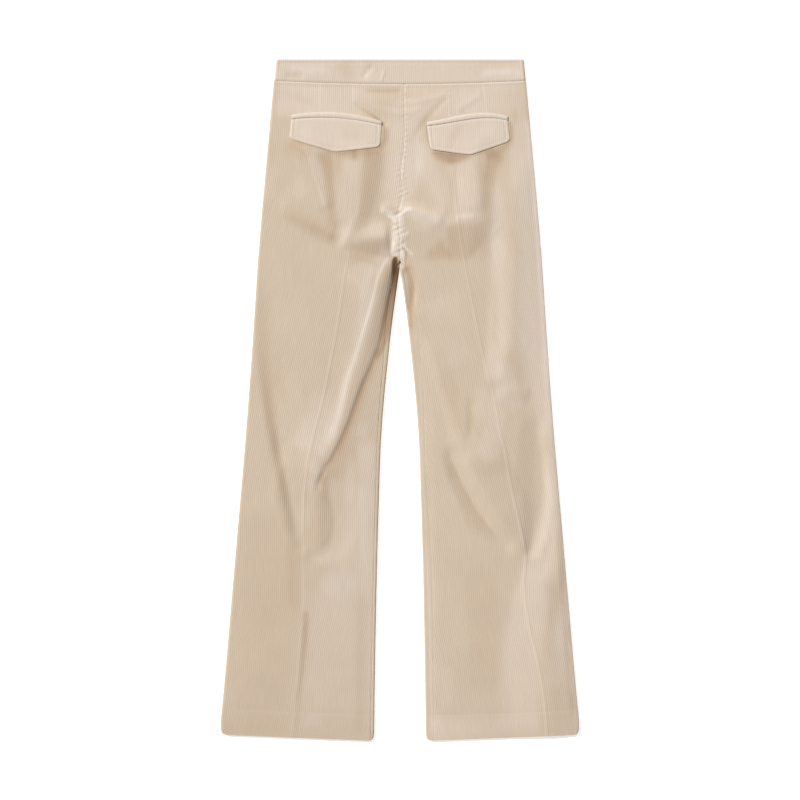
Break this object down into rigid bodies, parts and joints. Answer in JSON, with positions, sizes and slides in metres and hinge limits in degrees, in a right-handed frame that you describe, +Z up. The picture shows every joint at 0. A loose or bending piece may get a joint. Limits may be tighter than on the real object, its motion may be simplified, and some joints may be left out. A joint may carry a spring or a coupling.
{
  "type": "corduroy trousers",
  "caption": "Flared corduroy trousers laid flat, back side up, with pressed creases, a plain waistband, darts and pointed pocket flaps.",
  "frame": {"origin": "on the surface the trousers lie on, under the middle of their bounding box", "axes": "+Z up out of the back of the trousers, +Y along the legs towards the waist, +X across towards the wearer's right"},
  "size_m": [0.5692, 1.0799, 0.0212],
  "materials": {
    "corduroy": "fine ribbed cotton corduroy, matt with a soft nap",
    "zip_metal": "satin"
  },
  "bodies": {
    "root": {"back_left": "corduroy", "back_right": "corduroy", "front_left": "corduroy", "front_right": "corduroy", "waistband_back": "corduroy", "waistband_front_left": "corduroy", "waistband_front_right": "corduroy", "welt_left": "corduroy", "welt_right": "corduroy", "flap_left": "corduroy", "flap_right": "corduroy", "fly_zip": "zip_metal", "waist_hook": "zip_metal"}
  },
  "joints": []
}
